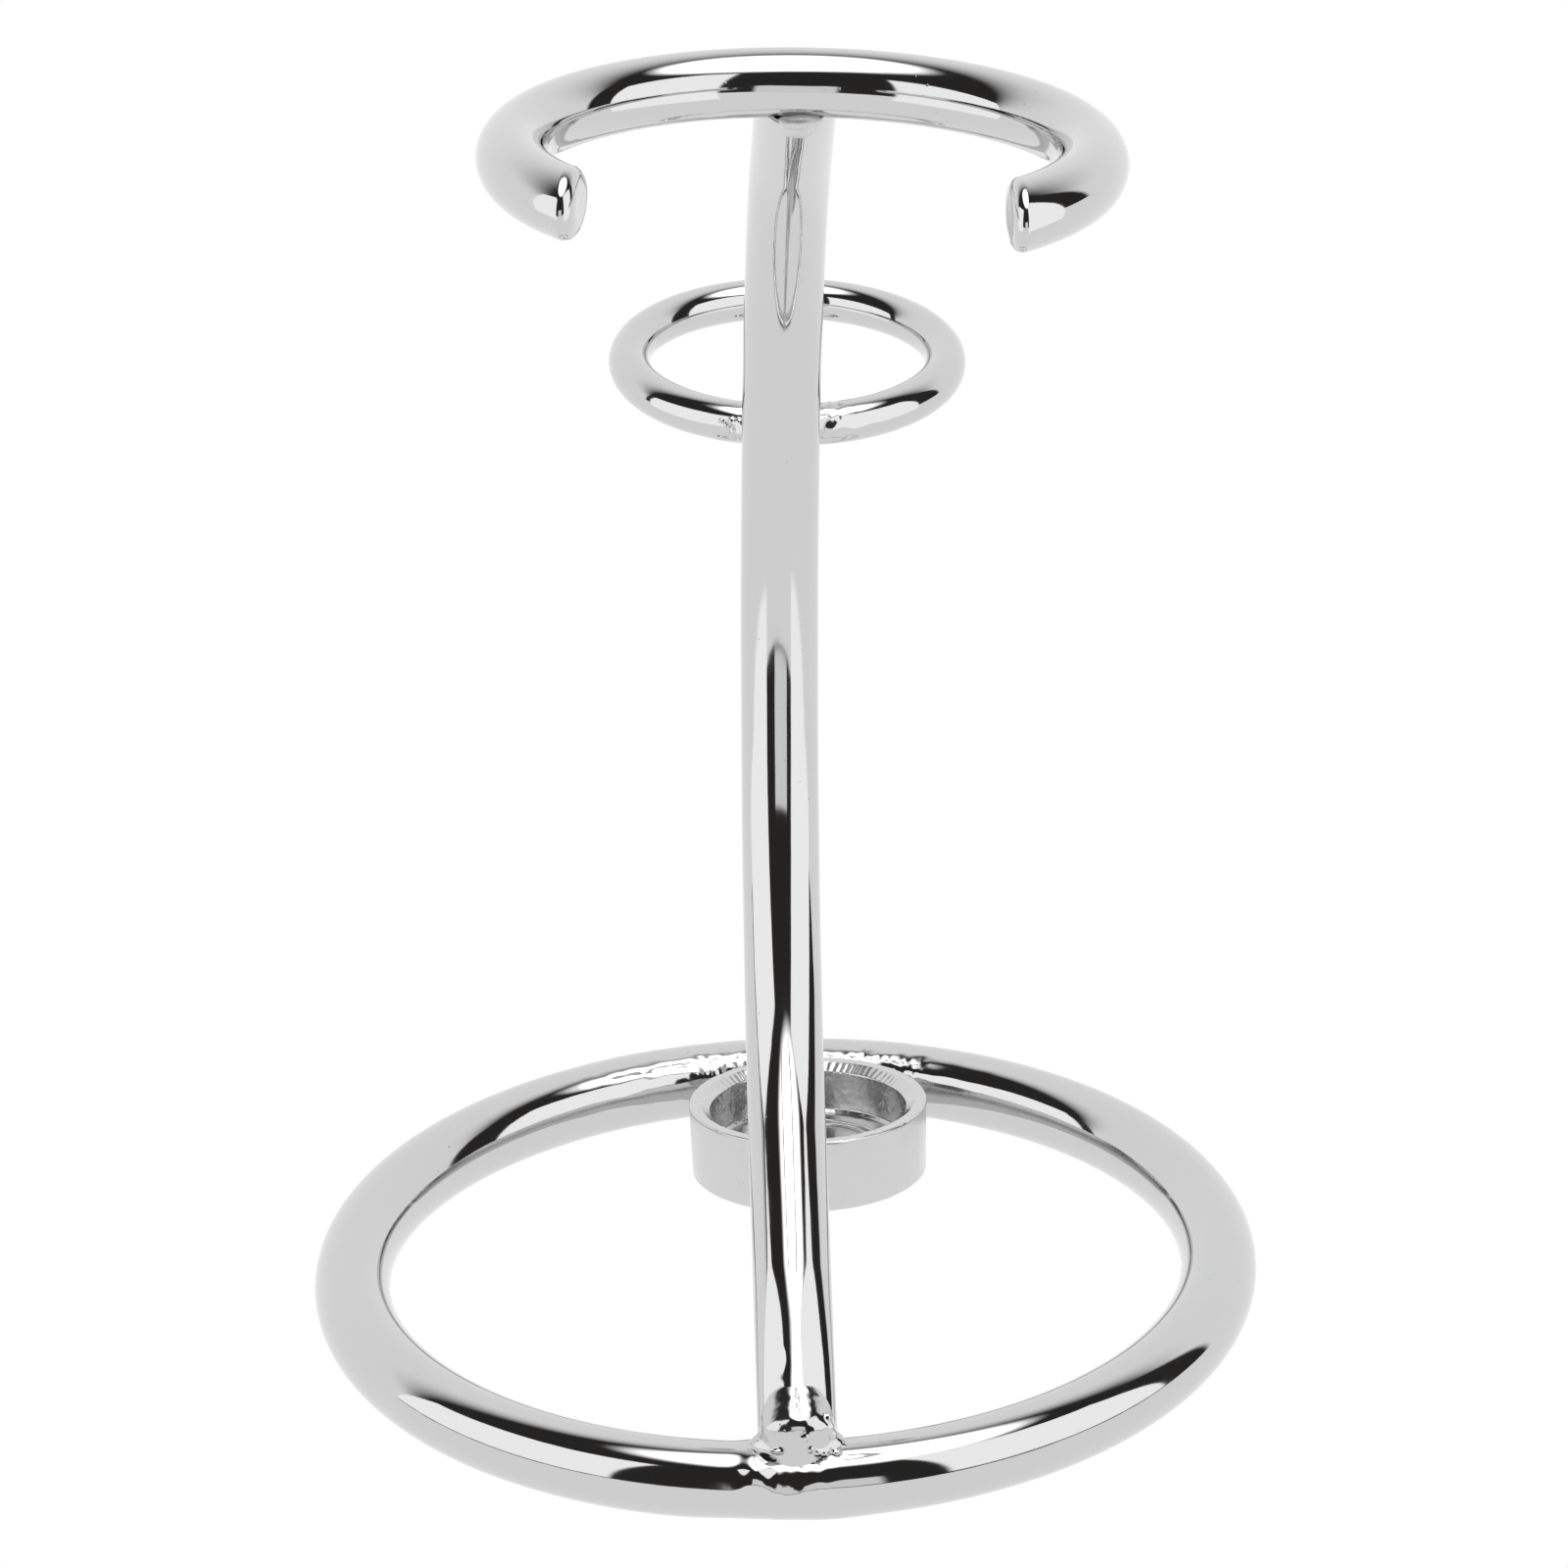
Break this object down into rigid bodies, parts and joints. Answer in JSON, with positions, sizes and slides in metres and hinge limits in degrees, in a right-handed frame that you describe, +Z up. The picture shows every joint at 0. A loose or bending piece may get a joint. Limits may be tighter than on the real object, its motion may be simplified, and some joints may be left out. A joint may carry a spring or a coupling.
{
  "type": "razor stand",
  "caption": "Free-standing chromed wire stand: a base ring, a bowed stem, an open ring for a shaving brush, a closed ring and a cup for a safety razor.",
  "frame": {"origin": "centre of the base ring, on the table that the stand rests on", "axes": "+Z up, -Y towards the front where the brush ring opens, +X to the right seen from the front"},
  "size_m": [0.09, 0.1126, 0.1361],
  "materials": {
    "thick_wire": "mirror-polished chrome plate on bent round steel wire",
    "brush_wire": "mirror-polished chrome plate on bent round steel wire",
    "razor_wire": "mirror-polished chrome plate on thin round steel wire",
    "cup_metal": "chrome plate, satin outside and pitted inside the bore",
    "weld_metal": "chrome plate over unground weld beads, with pits and spatter"
  },
  "bodies": {
    "root": {"base_ring": "thick_wire", "stem": "thick_wire", "brush_ring": "brush_wire", "razor_ring": "razor_wire", "razor_cup": "cup_metal", "base_joint_weld": "weld_metal", "foot_weld": "weld_metal", "head_weld_front": "weld_metal", "head_weld_back": "weld_metal", "razor_ring_weld_left": "weld_metal", "razor_ring_weld_right": "weld_metal", "cup_weld_left": "weld_metal", "cup_weld_right": "weld_metal"}
  },
  "joints": []
}
